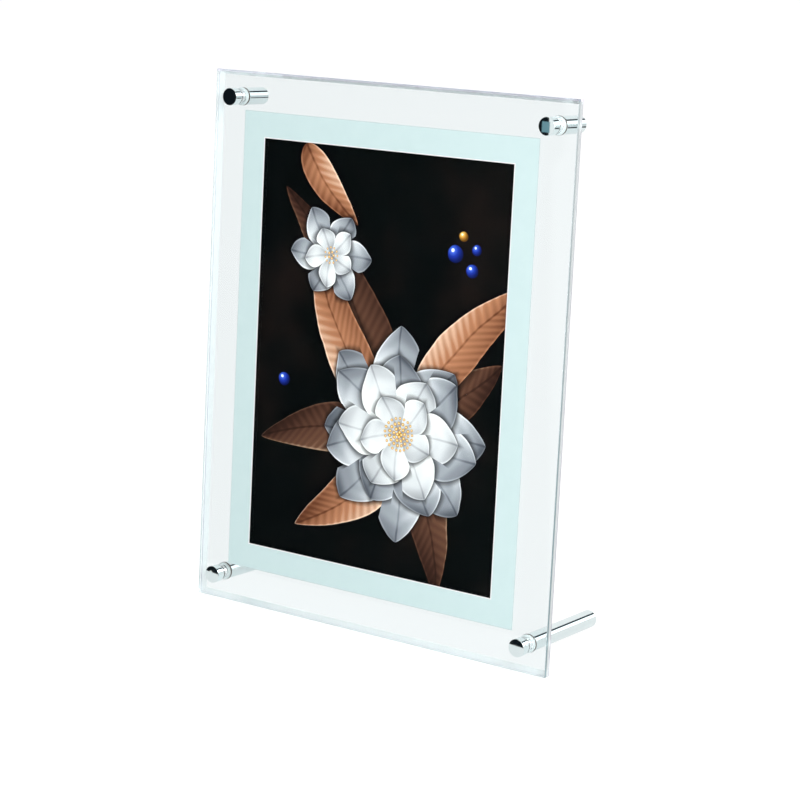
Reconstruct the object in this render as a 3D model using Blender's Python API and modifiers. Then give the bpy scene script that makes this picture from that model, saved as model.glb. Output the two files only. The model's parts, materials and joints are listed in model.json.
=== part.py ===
"""LED light box: two clear sheets on chrome standoffs, with a slim backlit picture unit between them.

The box leans back on its bottom edge and on two long standoff barrels.
World axes: +Z up, the front faces -Y, the origin is at the middle of the footprint.
Under the leaning stand, X runs across, Y is the depth behind the front face, Z runs up the sheets.
"""

import math

import bmesh
import bpy
from mathutils import Matrix, Vector

MM = 0.001
SEAT_GAP = 0.3 * MM

# Picture and its border
FILM_WIDTH = 210 * MM
FILM_HEIGHT = 297 * MM
FILM_THICKNESS = 0.3 * MM
FILM_OVERLAP_X = 4.5 * MM
FILM_OVERLAP_Z = 6 * MM
BORDER_WIDTH = 18 * MM
BORDER_THICKNESS = 0.2 * MM

# Clear sheets
CLEAR_MARGIN = 26.5 * MM
FRONT_SHEET = 3 * MM
REAR_SHEET = 5 * MM
SHEET_BEVEL = 3.3 * MM

# Standoffs
STANDOFF_INSET = 18 * MM
CAP_RADIUS = 6 * MM
CAP_LENGTH = 7 * MM
CAP_CHAMFER = 0.7 * MM
CAP_CROWN = 0.25 * MM
WASHER_RADIUS = 5.6 * MM
WASHER_THICKNESS = 0.6 * MM
BUSHING_FLANGE_RADIUS = 6.2 * MM
BUSHING_FLANGE = 0.6 * MM
BUSHING_WALL = 0.9 * MM
RUBBER_RADIUS = 6.3 * MM
RUBBER_THICKNESS = 1 * MM
BARREL_RADIUS = 6 * MM
BARREL_CHAMFER = 0.5 * MM
UPPER_BARREL_LENGTH = 21 * MM
LEG_LENGTH = 75 * MM
STUD_RADIUS = 3 * MM
STUD_IN_CAP = 4.5 * MM
STUD_ENGAGEMENT = 10 * MM
STUD_CLEARANCE = 0.3 * MM
BORE_RUNOUT = 4 * MM

# Light unit
WINDOW_MARGIN_X = 2.5 * MM
WINDOW_MARGIN_Z = 1.5 * MM
UNIT_CLEARANCE = 0.5 * MM
RAIL_WALL = 1 * MM
RAIL_LIP = 0.6 * MM
SIDE_LIP_REACH = 3 * MM
END_LIP_REACH = 5.5 * MM
FOOT_REACH = 3 * MM
DIFFUSER = 0.8 * MM
LIGHT_GUIDE = 3 * MM
REFLECTOR = 0.4 * MM
BOARD_THICKNESS = 1 * MM
BOARD_DEPTH = 3.6 * MM
CHIP_COUNT = 24
CHIP_LENGTH = 3.2 * MM
CHIP_DEPTH = 2.4 * MM
CHIP_HEIGHT = 0.8 * MM

# Back cover and its screws
COVER_WALL = 1 * MM
COVER_FLANGE = 5.2 * MM
COVER_CORNER = 1 * MM
COVER_SCREWS_ACROSS = 2
COVER_SCREWS_UP = 3
COVER_SCREW_RADIUS = 1 * MM
COVER_SCREW_DEPTH = 3.5 * MM
SCREW_HEAD_OVERHANG = 0.9 * MM
SCREW_HEAD_HEIGHT = 1.2 * MM
SCREW_CLEARANCE = 0.25 * MM

# Wires
WIRE_RADIUS = 0.5 * MM
WIRE_SPACING = 1.6 * MM
WIRE_BEND = 1.3 * MM
LINK_WIRE_INSET = 7 * MM

# Power jack and its housing
JACK_WIDTH = 9 * MM
JACK_DEPTH = 9 * MM
JACK_HEIGHT = 12 * MM
JACK_NOSE_RADIUS = 3.9 * MM
JACK_BORE_RADIUS = 2.8 * MM
JACK_BORE_DEPTH = 8.2 * MM
JACK_PIN_RADIUS = 1 * MM
TERMINAL_THICKNESS = 0.5 * MM
TERMINAL_WIDTH = 2 * MM
TERMINAL_LENGTH = 3 * MM
TERMINAL_SINK = 2.5 * MM
TERMINAL_SPACING = 3 * MM
HOUSING_ABOVE_COVER_EDGE = 12 * MM
HOUSING_WALL = 1.3 * MM
HOUSING_FLANGE = 6 * MM
HOUSING_CLEARANCE = 1.2 * MM
HOUSING_CORNER = 1 * MM
HOUSING_SCREW_RADIUS = 1.2 * MM
HOUSING_SCREW_REACH = 1.2 * MM

# Facets
ROUND_SIDES = 32
RING_SIDES = 24
SMALL_SIDES = 16
SCREW_SIDES = 12
CORNER_SEGMENTS = 6
CUT_OVERRUN = 1 * MM

# Depths behind the front face
REAR_FRONT = FRONT_SHEET + SEAT_GAP
REAR_BACK = REAR_FRONT + REAR_SHEET
LIP_FRONT = REAR_FRONT + FILM_THICKNESS + SEAT_GAP
LIP_BACK = LIP_FRONT + RAIL_LIP
DIFFUSER_FRONT = LIP_BACK + SEAT_GAP
GUIDE_FRONT = DIFFUSER_FRONT + DIFFUSER + SEAT_GAP
REFLECTOR_FRONT = GUIDE_FRONT + LIGHT_GUIDE + SEAT_GAP
FOOT_FRONT = REFLECTOR_FRONT + REFLECTOR + SEAT_GAP
FOOT_BACK = FOOT_FRONT + 2 * (WIRE_RADIUS + SEAT_GAP)
WIRE_LEVEL = (FOOT_FRONT + FOOT_BACK) / 2
GUIDE_MIDDLE = GUIDE_FRONT + LIGHT_GUIDE / 2
BOARD_BACK = GUIDE_MIDDLE + BOARD_DEPTH / 2
FLANGE_FRONT = REAR_BACK + SEAT_GAP
COVER_FRONT = FOOT_BACK + SEAT_GAP
COVER_BACK = COVER_FRONT + COVER_WALL
BUSHING_FRONT = REAR_BACK + SEAT_GAP
RUBBER_FRONT = BUSHING_FRONT + BUSHING_FLANGE + SEAT_GAP
BARREL_FRONT = RUBBER_FRONT + RUBBER_THICKNESS + SEAT_GAP
CAP_BASE = SEAT_GAP + WASHER_THICKNESS + SEAT_GAP
CAP_FACE = CAP_BASE + CAP_LENGTH

# Sizes across and up
PICTURE_WIDTH = FILM_WIDTH - 2 * FILM_OVERLAP_X
PICTURE_HEIGHT = FILM_HEIGHT - 2 * FILM_OVERLAP_Z
BORDER_OUTER_WIDTH = PICTURE_WIDTH + 2 * BORDER_WIDTH
BORDER_OUTER_HEIGHT = PICTURE_HEIGHT + 2 * BORDER_WIDTH
SHEET_WIDTH = BORDER_OUTER_WIDTH + 2 * CLEAR_MARGIN
SHEET_HEIGHT = BORDER_OUTER_HEIGHT + 2 * CLEAR_MARGIN
WINDOW_WIDTH = FILM_WIDTH + 2 * WINDOW_MARGIN_X
WINDOW_HEIGHT = FILM_HEIGHT + 2 * WINDOW_MARGIN_Z
UNIT_WIDTH = WINDOW_WIDTH - 2 * UNIT_CLEARANCE
UNIT_HEIGHT = WINDOW_HEIGHT - 2 * UNIT_CLEARANCE
BOARD_INSET = RAIL_WALL + SEAT_GAP
GUIDE_WIDTH = UNIT_WIDTH - 2 * BOARD_INSET
GUIDE_HEIGHT = UNIT_HEIGHT - 2 * (BOARD_INSET + BOARD_THICKNESS + CHIP_HEIGHT + SEAT_GAP)
RAIL_END = RAIL_WALL + END_LIP_REACH + SEAT_GAP
HOLE_X = SHEET_WIDTH / 2 - STANDOFF_INSET
MIDDLE_Z = SHEET_HEIGHT / 2
LINK_X = LINK_WIRE_INSET - UNIT_WIDTH / 2
STUD_BORE = STUD_RADIUS + STUD_CLEARANCE
SLEEVE_RADIUS = STUD_BORE + BUSHING_WALL
WIRE_HOLE_RADIUS = WIRE_SPACING / 2 + WIRE_RADIUS + SEAT_GAP

# The bottom edge and the rims of the legs touch the ground together
EDGE_DEPTH = REAR_BACK - SHEET_BEVEL
LEG_RIM_DEPTH = BARREL_FRONT + LEG_LENGTH - BARREL_CHAMFER
LEAN = math.atan2(STANDOFF_INSET - BARREL_RADIUS, LEG_RIM_DEPTH - EDGE_DEPTH)

# Name: across, up, barrel name, barrel length
STANDOFFS = {
    "top_left": (-HOLE_X, SHEET_HEIGHT - STANDOFF_INSET, "barrel", UPPER_BARREL_LENGTH),
    "top_right": (HOLE_X, SHEET_HEIGHT - STANDOFF_INSET, "barrel", UPPER_BARREL_LENGTH),
    "bottom_left": (-HOLE_X, STANDOFF_INSET, "leg", LEG_LENGTH),
    "bottom_right": (HOLE_X, STANDOFF_INSET, "leg", LEG_LENGTH),
}


# Scene helpers
def clear_scene():
    for obj in list(bpy.data.objects):
        bpy.data.objects.remove(obj)


def make_collection(name):
    collection = bpy.data.collections.new(name)
    bpy.context.scene.collection.children.link(collection)
    return collection


def make_material(name, color, roughness, metallic=0.0, transmission=0.0):
    material = bpy.data.materials.new(name)
    material.use_nodes = True
    shader = material.node_tree.nodes["Principled BSDF"]
    shader.inputs["Base Color"].default_value = (*color, 1)
    shader.inputs["Roughness"].default_value = roughness
    shader.inputs["Metallic"].default_value = metallic
    shader.inputs["Transmission Weight"].default_value = transmission
    return material


def add_empty(name, parent=None, location=(0, 0, 0), rotation=(0, 0, 0)):
    empty = bpy.data.objects.new(name, None)
    parts.objects.link(empty)
    empty.parent = parent
    empty.location = location
    empty.rotation_euler = rotation
    return empty


def add_object(name, data, material, parent, location=(0, 0, 0), rotation=(0, 0, 0)):
    obj = bpy.data.objects.new(name, data)
    parts.objects.link(obj)
    obj.parent = parent
    obj.location = location
    obj.rotation_euler = rotation
    if material:
        data.materials.append(material)
    return obj


def mesh_from(name, bm):
    mesh = bpy.data.meshes.new(name)
    bm.to_mesh(mesh)
    bm.free()
    return mesh


def as_cutter(obj):
    parts.objects.unlink(obj)
    cutters.objects.link(obj)
    obj.hide_render = True
    obj.display_type = "WIRE"
    return obj


def combine(obj, tool, operation="DIFFERENCE"):
    modifier = obj.modifiers.new(operation.lower(), "BOOLEAN")
    modifier.operation = operation
    modifier.solver = "EXACT"
    modifier.object = tool


def shade_round(mesh):
    mesh.shade_smooth()
    mesh.set_sharp_from_angle(angle=math.radians(40))


# Shape helpers
def add_box(bm, size, centre):
    matrix = Matrix.Translation(centre) @ Matrix.Diagonal((*size, 1))
    bmesh.ops.create_cube(bm, size=1, matrix=matrix)


def box(name, size, centre, material=None, parent=None):
    bm = bmesh.new()
    add_box(bm, size, centre)
    return add_object(name, mesh_from(name, bm), material, parent or stand)


def slab(name, width, height, front, thickness, material):
    """A plate behind the middle of the picture, from its front depth backwards."""
    return box(name, (width, thickness, height), (0, front + thickness / 2, MIDDLE_Z), material)


def add_rod(bm, radius, length, matrix, sides=SMALL_SIDES):
    bmesh.ops.create_cone(
        bm, cap_ends=True, segments=sides, radius1=radius, radius2=radius, depth=length, matrix=matrix
    )


def rod(name, radius, low, high, parent, material=None, sides=SMALL_SIDES):
    """A rod along its parent's Z axis, from low to high."""
    bm = bmesh.new()
    add_rod(bm, radius, high - low, Matrix.Translation((0, 0, (low + high) / 2)), sides)
    obj = add_object(name, mesh_from(name, bm), material, parent)
    shade_round(obj.data)
    return obj


def deep_holes(name, places, radius, front, back):
    """Cutters along the depth at each (across, up) place."""
    bm = bmesh.new()
    for x, z in places:
        matrix = Matrix.Translation((x, (front + back) / 2, z)) @ Matrix.Rotation(math.pi / 2, 4, "X")
        add_rod(bm, radius, back - front, matrix, SCREW_SIDES)
    return as_cutter(add_object(name, mesh_from(name, bm), None, stand))


def turned_mesh(name, profile, sides):
    """A profile of (radius, height) points, outer side top to bottom, turned about Z."""
    bm = bmesh.new()
    verts = [bm.verts.new((radius, 0, height)) for radius, height in profile]
    for pair in zip(verts, verts[1:]):
        bm.edges.new(pair)
    if profile[0][0] > 0:
        bm.edges.new((verts[-1], verts[0]))
    source = add_object(name + "_profile", mesh_from(name, bm), None, None)
    screw = source.modifiers.new("turn", "SCREW")
    screw.steps = sides
    screw.render_steps = sides
    screw.use_merge_vertices = True
    screw.merge_threshold = 0.00001
    bpy.context.view_layer.update()
    evaluated = source.evaluated_get(bpy.context.evaluated_depsgraph_get())
    mesh = bpy.data.meshes.new_from_object(evaluated)
    mesh.name = name
    bpy.data.objects.remove(source)
    shade_round(mesh)
    return mesh


def turned(name, profile, material, parent, sides=ROUND_SIDES):
    return add_object(name, turned_mesh(name, profile, sides), material, parent)


def dished_cover(name, inner, flange, depth, wall, corner, material, location):
    """A tray with a flange round its mouth. Its flange starts at local Y = 0 and it is deep to +Y."""
    rim = wall + flange
    bm = bmesh.new()
    facing_front = Matrix.Rotation(math.pi / 2, 4, "X")
    outer = Matrix.Diagonal((inner[0] + 2 * rim, inner[1] + 2 * rim, 1, 1))
    bmesh.ops.create_grid(bm, x_segments=1, y_segments=1, size=0.5, matrix=facing_front @ outer)
    bmesh.ops.bevel(
        bm, geom=bm.verts[:], offset=corner + rim, segments=CORNER_SEGMENTS, profile=0.5, affect="VERTICES"
    )
    bm.faces.ensure_lookup_table()
    floor = bm.faces[0]
    bmesh.ops.inset_region(bm, faces=[floor], thickness=rim, use_even_offset=True, use_boundary=True)
    pan = bmesh.ops.extrude_face_region(bm, geom=[floor])
    deep = [item for item in pan["geom"] if isinstance(item, bmesh.types.BMVert)]
    bmesh.ops.translate(bm, verts=deep, vec=(0, depth, 0))
    bmesh.ops.delete(bm, geom=[floor], context="FACES_ONLY")
    obj = add_object(name, mesh_from(name, bm), material, stand, location)
    shell = obj.modifiers.new("wall", "SOLIDIFY")
    shell.thickness = wall
    shell.offset = -1
    shell.use_even_offset = True
    return obj


def wire(name, points, material):
    """A thin insulated wire through its points."""
    curve = bpy.data.curves.new(name, "CURVE")
    curve.dimensions = "3D"
    curve.bevel_depth = WIRE_RADIUS
    curve.bevel_resolution = 2
    curve.use_fill_caps = True
    spline = curve.splines.new("POLY")
    spline.points.add(len(points) - 1)
    for target, point in zip(spline.points, points):
        target.co = (*point, 1)
    return add_object(name, curve, material, stand)


# Clear sheets
def make_hole_cutters():
    radius = SLEEVE_RADIUS + SEAT_GAP
    end = -REAR_BACK - CUT_OVERRUN
    return [as_cutter(rod(name + "_hole", radius, end, CUT_OVERRUN, axis)) for name, axis in axes.items()]


def make_front_sheet(holes):
    centre = (0, FRONT_SHEET / 2, MIDDLE_Z)
    sheet = box("front_sheet", (SHEET_WIDTH, FRONT_SHEET, SHEET_HEIGHT), centre, clear_acrylic)
    for hole in holes:
        combine(sheet, hole)


def make_rear_sheet(holes, screw_places):
    bm = bmesh.new()
    middle = REAR_FRONT + REAR_SHEET / 2
    add_box(bm, (SHEET_WIDTH, REAR_SHEET, SHEET_HEIGHT), (0, middle, MIDDLE_Z))
    rear_edges = [edge for edge in bm.edges if all(vert.co.y > middle for vert in edge.verts)]
    bmesh.ops.bevel(bm, geom=rear_edges, offset=SHEET_BEVEL, segments=1, profile=0.5, affect="EDGES")
    sheet = add_object("rear_sheet", mesh_from("rear_sheet", bm), clear_acrylic, stand)
    window_size = (WINDOW_WIDTH, REAR_SHEET + 2 * CUT_OVERRUN, WINDOW_HEIGHT)
    hole_end = REAR_BACK - COVER_SCREW_DEPTH - SCREW_CLEARANCE
    hole_radius = COVER_SCREW_RADIUS + SCREW_CLEARANCE
    run = (hole_end, REAR_BACK + CUT_OVERRUN)
    combine(sheet, deep_holes("rear_sheet_screw_holes", screw_places, hole_radius, *run))
    combine(sheet, as_cutter(box("rear_sheet_window", window_size, (0, middle, MIDDLE_Z))))
    for hole in holes:
        combine(sheet, hole)


# Border and picture
def make_border():
    centre = (0, -SEAT_GAP - BORDER_THICKNESS / 2, MIDDLE_Z)
    size = (BORDER_OUTER_WIDTH, BORDER_THICKNESS, BORDER_OUTER_HEIGHT)
    border = box("printed_border", size, centre, pale_teal)
    window_size = (PICTURE_WIDTH, BORDER_THICKNESS + 2 * CUT_OVERRUN, PICTURE_HEIGHT)
    combine(border, as_cutter(box("border_window", window_size, centre)))


def make_picture():
    slab("picture_film", FILM_WIDTH, FILM_HEIGHT, REAR_FRONT, FILM_THICKNESS, picture_print)


# Light unit
def make_light_guide_stack():
    slab("diffuser_sheet", GUIDE_WIDTH, GUIDE_HEIGHT, DIFFUSER_FRONT, DIFFUSER, white_sheet)
    slab("light_guide", GUIDE_WIDTH, GUIDE_HEIGHT, GUIDE_FRONT, LIGHT_GUIDE, clear_acrylic)
    slab("reflector_sheet", GUIDE_WIDTH, GUIDE_HEIGHT, REFLECTOR_FRONT, REFLECTOR, white_sheet)


def make_rail(name, lip_reach, length, place):
    """A channel open towards the light guide. place turns (inward, depth, along) into a point."""
    section = [
        (0, LIP_FRONT),
        (RAIL_WALL + lip_reach, LIP_FRONT),
        (RAIL_WALL + lip_reach, LIP_BACK),
        (RAIL_WALL, LIP_BACK),
        (RAIL_WALL, FOOT_FRONT),
        (RAIL_WALL + FOOT_REACH, FOOT_FRONT),
        (RAIL_WALL + FOOT_REACH, FOOT_BACK),
        (0, FOOT_BACK),
    ]
    bm = bmesh.new()
    face = bm.faces.new([bm.verts.new(place(inward, depth, -length / 2)) for inward, depth in section])
    swept = bmesh.ops.extrude_face_region(bm, geom=[face], use_keep_orig=True)
    moved = [item for item in swept["geom"] if isinstance(item, bmesh.types.BMVert)]
    bmesh.ops.translate(bm, verts=moved, vec=place(0, 0, length) - place(0, 0, 0))
    bmesh.ops.recalc_face_normals(bm, faces=bm.faces)
    return add_object(name, mesh_from(name, bm), white_plastic, stand)


def rail_notch(name, x, end):
    """Room in a rail's foot for a pair of wires."""
    reach = FOOT_REACH + CUT_OVERRUN
    size = (2 * WIRE_HOLE_RADIUS, FOOT_BACK - FOOT_FRONT + 2 * SEAT_GAP, reach)
    up = MIDDLE_Z + end * (UNIT_HEIGHT / 2 - RAIL_WALL - reach / 2)
    return as_cutter(box(name, size, (x, WIRE_LEVEL, up)))


def make_rails():
    side = UNIT_WIDTH / 2
    top = MIDDLE_Z + UNIT_HEIGHT / 2
    bottom = MIDDLE_Z - UNIT_HEIGHT / 2
    length = UNIT_HEIGHT - 2 * RAIL_END
    make_rail("rail_left", SIDE_LIP_REACH, length, lambda i, d, a: Vector((i - side, d, MIDDLE_Z + a)))
    make_rail("rail_right", SIDE_LIP_REACH, length, lambda i, d, a: Vector((side - i, d, MIDDLE_Z + a)))
    rail_top = make_rail("rail_top", END_LIP_REACH, UNIT_WIDTH, lambda i, d, a: Vector((a, d, top - i)))
    rail_bottom = make_rail(
        "rail_bottom", END_LIP_REACH, UNIT_WIDTH, lambda i, d, a: Vector((a, d, bottom + i))
    )
    combine(rail_top, rail_notch("rail_top_link_notch", LINK_X, 1))
    combine(rail_bottom, rail_notch("rail_bottom_link_notch", LINK_X, -1))
    combine(rail_bottom, rail_notch("rail_bottom_lead_notch", 0, -1))


def make_led_strip(name, end):
    """A board on edge behind the rail's wall, with a row of chips that shine into the light guide."""
    edge = MIDDLE_Z + end * UNIT_HEIGHT / 2
    board_up = edge - end * (BOARD_INSET + BOARD_THICKNESS / 2)
    size = (GUIDE_WIDTH, BOARD_DEPTH, BOARD_THICKNESS)
    board = box(name, size, (0, GUIDE_MIDDLE, board_up), board_white)
    bm = bmesh.new()
    pitch = GUIDE_WIDTH / CHIP_COUNT
    sunk = BOARD_THICKNESS / 2
    chip_up = board_up - end * (BOARD_THICKNESS / 2 + CHIP_HEIGHT / 2 - sunk / 2)
    for i in range(CHIP_COUNT):
        x = (i + 0.5) * pitch - GUIDE_WIDTH / 2
        add_box(bm, (CHIP_LENGTH, CHIP_DEPTH, CHIP_HEIGHT + sunk), (x, GUIDE_MIDDLE, chip_up))
    chips = add_object(name + "_chips", mesh_from(name + "_chips", bm), led_phosphor, stand)
    combine(board, as_cutter(chips), "UNION")


# Back cover
def cover_screw_places():
    """(across, up) of each screw, spaced along the middle of the flange."""
    half_x = WINDOW_WIDTH / 2 + COVER_WALL + COVER_FLANGE / 2
    half_z = WINDOW_HEIGHT / 2 + COVER_WALL + COVER_FLANGE / 2
    across = [half_x * (2 * (i + 0.5) / COVER_SCREWS_ACROSS - 1) for i in range(COVER_SCREWS_ACROSS)]
    up = [half_z * (2 * (i + 0.5) / COVER_SCREWS_UP - 1) for i in range(COVER_SCREWS_UP)]
    places = [(x, MIDDLE_Z + end * half_z) for end in (-1, 1) for x in across]
    return places + [(side * half_x, MIDDLE_Z + z) for side in (-1, 1) for z in up]


def make_screws(name, places, radius, front, seat):
    """Pan head screws driven from behind, from their tip's depth to their head's seat."""
    head = radius + SCREW_HEAD_OVERHANG
    profile = [
        (0, -front),
        (radius, -front),
        (radius, -seat),
        (head, -seat),
        (head, -seat - SCREW_HEAD_HEIGHT / 2),
        (radius, -seat - SCREW_HEAD_HEIGHT),
        (0, -seat - SCREW_HEAD_HEIGHT),
    ]
    mesh = turned_mesh(name, profile, SCREW_SIDES)
    mesh.materials.append(steel)
    for i, (x, z) in enumerate(places, 1):
        add_object(f"{name}_{i}", mesh, None, stand, (x, 0, z), (math.pi / 2, 0, 0))


def make_back_cover(screw_places):
    cover = dished_cover(
        "back_cover",
        (WINDOW_WIDTH, WINDOW_HEIGHT),
        COVER_FLANGE,
        COVER_FRONT - FLANGE_FRONT,
        COVER_WALL,
        COVER_CORNER,
        white_metal,
        (0, FLANGE_FRONT, MIDDLE_Z),
    )
    seat = FLANGE_FRONT + COVER_WALL
    hole_radius = COVER_SCREW_RADIUS + SCREW_CLEARANCE
    run = (REAR_BACK, seat + CUT_OVERRUN)
    combine(cover, deep_holes("cover_screw_holes", screw_places, hole_radius, *run))
    tip = REAR_BACK - COVER_SCREW_DEPTH
    make_screws("cover_screw", screw_places, COVER_SCREW_RADIUS, tip, seat + SEAT_GAP)
    return cover


# Power jack
def make_jack(axis):
    """A socket that opens downwards through the housing. Local Z = 0 is the body's lower face."""
    size = (JACK_WIDTH, JACK_DEPTH, JACK_HEIGHT)
    body = box("power_jack", size, (0, 0, JACK_HEIGHT / 2), black_plastic, axis)
    nose_end = -SEAT_GAP - HOUSING_WALL
    nose = rod("jack_nose", JACK_NOSE_RADIUS, nose_end, CUT_OVERRUN, axis, sides=RING_SIDES)
    combine(body, as_cutter(nose), "UNION")
    bore_start = nose_end - CUT_OVERRUN
    bore = rod("jack_bore", JACK_BORE_RADIUS, bore_start, JACK_BORE_DEPTH, axis, sides=RING_SIDES)
    combine(body, as_cutter(bore))
    pin_hole = rod(
        "jack_pin_hole",
        JACK_PIN_RADIUS + SEAT_GAP,
        JACK_BORE_DEPTH - CUT_OVERRUN,
        JACK_HEIGHT + CUT_OVERRUN,
        axis,
    )
    combine(body, as_cutter(pin_hole))
    terminal_size = (TERMINAL_THICKNESS, TERMINAL_WIDTH, TERMINAL_SINK + TERMINAL_LENGTH)
    slot_size = (
        TERMINAL_THICKNESS + 2 * SEAT_GAP,
        TERMINAL_WIDTH + 2 * SEAT_GAP,
        2 * (TERMINAL_SINK + SEAT_GAP),
    )
    slot = box("jack_terminal_slot", slot_size, (TERMINAL_SPACING, 0, JACK_HEIGHT), None, axis)
    combine(body, as_cutter(slot))
    terminal_top = JACK_HEIGHT + TERMINAL_LENGTH
    terminal_middle = terminal_top - terminal_size[2] / 2
    rod("jack_pin", JACK_PIN_RADIUS, 0, terminal_top, axis, steel)
    box("jack_terminal", terminal_size, (TERMINAL_SPACING, 0, terminal_middle), steel, axis)


def board_end(x, end):
    """The last points of a wire that comes in from behind to a LED board at one end of the unit."""
    up = MIDDLE_Z + end * (UNIT_HEIGHT / 2 - BOARD_INSET - BOARD_THICKNESS / 2)
    return [
        (x, WIRE_LEVEL, up - end * WIRE_BEND),
        (x, WIRE_LEVEL - WIRE_RADIUS, up),
        (x, BOARD_BACK + SEAT_GAP, up),
    ]


def make_power_unit(cover):
    """The jack in its housing low on the back cover, and its two wires."""
    jack_depth = COVER_BACK + SEAT_GAP + HOUSING_CLEARANCE + JACK_DEPTH / 2
    housing_low = MIDDLE_Z - WINDOW_HEIGHT / 2 + HOUSING_ABOVE_COVER_EDGE
    inner_low = housing_low + HOUSING_FLANGE + HOUSING_WALL
    jack_low = inner_low + SEAT_GAP
    terminal_top = jack_low + JACK_HEIGHT + TERMINAL_LENGTH + SEAT_GAP
    wire_hole_up = terminal_top + 2 * WIRE_BEND
    inner_high = wire_hole_up + WIRE_HOLE_RADIUS + SEAT_GAP
    middle = (inner_low + inner_high) / 2
    inner = (JACK_WIDTH + 2 * HOUSING_CLEARANCE, inner_high - inner_low)
    housing = dished_cover(
        "jack_housing",
        inner,
        HOUSING_FLANGE,
        JACK_DEPTH + 2 * HOUSING_CLEARANCE,
        HOUSING_WALL,
        HOUSING_CORNER,
        black_plastic,
        (0, COVER_BACK + SEAT_GAP, middle),
    )
    jack_axis = add_empty("jack_axis", stand, (0, jack_depth, jack_low))
    make_jack(jack_axis)
    nose_hole_low = -SEAT_GAP - HOUSING_WALL - CUT_OVERRUN
    nose_hole = rod(
        "jack_nose_hole", JACK_NOSE_RADIUS + SEAT_GAP, nose_hole_low, SEAT_GAP, jack_axis, sides=RING_SIDES
    )
    combine(housing, as_cutter(nose_hole))

    screw_x = inner[0] / 2 + HOUSING_WALL + HOUSING_FLANGE / 2
    places = [(-screw_x, middle), (screw_x, middle)]
    seat = COVER_BACK + SEAT_GAP + HOUSING_WALL + SEAT_GAP
    holes = deep_holes(
        "housing_screw_holes",
        places,
        HOUSING_SCREW_RADIUS + SCREW_CLEARANCE,
        COVER_FRONT - CUT_OVERRUN,
        seat + CUT_OVERRUN,
    )
    combine(housing, holes)
    combine(cover, holes)
    make_screws("housing_screw", places, HOUSING_SCREW_RADIUS, COVER_FRONT - HOUSING_SCREW_REACH, seat)

    run = (COVER_FRONT - SEAT_GAP, COVER_BACK + SEAT_GAP)
    combine(cover, deep_holes("cover_wire_hole", [(0, wire_hole_up)], WIRE_HOLE_RADIUS, *run))
    for name, start_x, side in (("positive", 0, -1), ("negative", TERMINAL_SPACING, 1)):
        x = side * WIRE_SPACING / 2
        route = [
            (start_x, jack_depth, terminal_top),
            (start_x, jack_depth, terminal_top + WIRE_BEND),
            (x, jack_depth - WIRE_BEND, wire_hole_up),
            (x, COVER_BACK + WIRE_BEND, wire_hole_up),
            (x, WIRE_LEVEL + WIRE_RADIUS, wire_hole_up),
            (x, WIRE_LEVEL, wire_hole_up - WIRE_BEND),
            *board_end(x, -1),
        ]
        wire("jack_wire_" + name, route, wire_colors[name])


def make_link_wires():
    """Two wires up the left side, behind the reflector, from the lower LED board to the upper one."""
    for name, side in (("positive", -1), ("negative", 1)):
        x = LINK_X + side * WIRE_SPACING / 2
        wire("link_wire_" + name, board_end(x, -1)[::-1] + board_end(x, 1), wire_colors[name])


# Standoffs
def ring_profile(radius, front, thickness):
    return [
        (radius, -front),
        (radius, -front - thickness),
        (STUD_BORE, -front - thickness),
        (STUD_BORE, -front),
    ]


def make_cap(name, axis):
    socket_end = CAP_BASE + STUD_IN_CAP + SEAT_GAP
    profile = [
        (0, CAP_FACE),
        (CAP_RADIUS - CAP_CHAMFER, CAP_FACE - CAP_CROWN),
        (CAP_RADIUS, CAP_FACE - CAP_CROWN - CAP_CHAMFER),
        (CAP_RADIUS, CAP_BASE),
        (STUD_BORE, CAP_BASE),
        (STUD_BORE, socket_end),
        (0, socket_end),
    ]
    turned(name + "_cap", profile, chrome, axis)


def make_stud(name, axis):
    end = -BARREL_FRONT - STUD_ENGAGEMENT
    rod(name + "_stud", STUD_RADIUS, end, CAP_BASE + STUD_IN_CAP, axis, steel)


def make_bushing(name, axis):
    end = -BUSHING_FRONT - BUSHING_FLANGE
    profile = [
        (SLEEVE_RADIUS, 0),
        (SLEEVE_RADIUS, -BUSHING_FRONT),
        (BUSHING_FLANGE_RADIUS, -BUSHING_FRONT),
        (BUSHING_FLANGE_RADIUS, end),
        (STUD_BORE, end),
        (STUD_BORE, 0),
    ]
    turned(name + "_bushing", profile, white_nylon, axis, RING_SIDES)


def make_barrel(name, axis, length):
    front = -BARREL_FRONT
    back = front - length
    bore_end = front - STUD_ENGAGEMENT - BORE_RUNOUT
    profile = [
        (0, bore_end),
        (STUD_BORE, bore_end),
        (STUD_BORE, front),
        (BARREL_RADIUS - BARREL_CHAMFER, front),
        (BARREL_RADIUS, front - BARREL_CHAMFER),
        (BARREL_RADIUS, back + BARREL_CHAMFER),
        (BARREL_RADIUS - BARREL_CHAMFER, back),
        (0, back),
    ]
    turned(name, profile, chrome, axis)


def make_standoffs():
    for name, (x, z, kind, length) in STANDOFFS.items():
        axis = axes[name]
        washer = ring_profile(WASHER_RADIUS, -SEAT_GAP - WASHER_THICKNESS, WASHER_THICKNESS)
        rubber = ring_profile(RUBBER_RADIUS, RUBBER_FRONT, RUBBER_THICKNESS)
        make_cap(name, axis)
        make_stud(name, axis)
        turned(name + "_washer", washer, clear_nylon, axis, RING_SIDES)
        make_bushing(name, axis)
        turned(name + "_rubber_ring", rubber, dark_rubber, axis, RING_SIDES)
        make_barrel(name + "_" + kind, axis, length)


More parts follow.
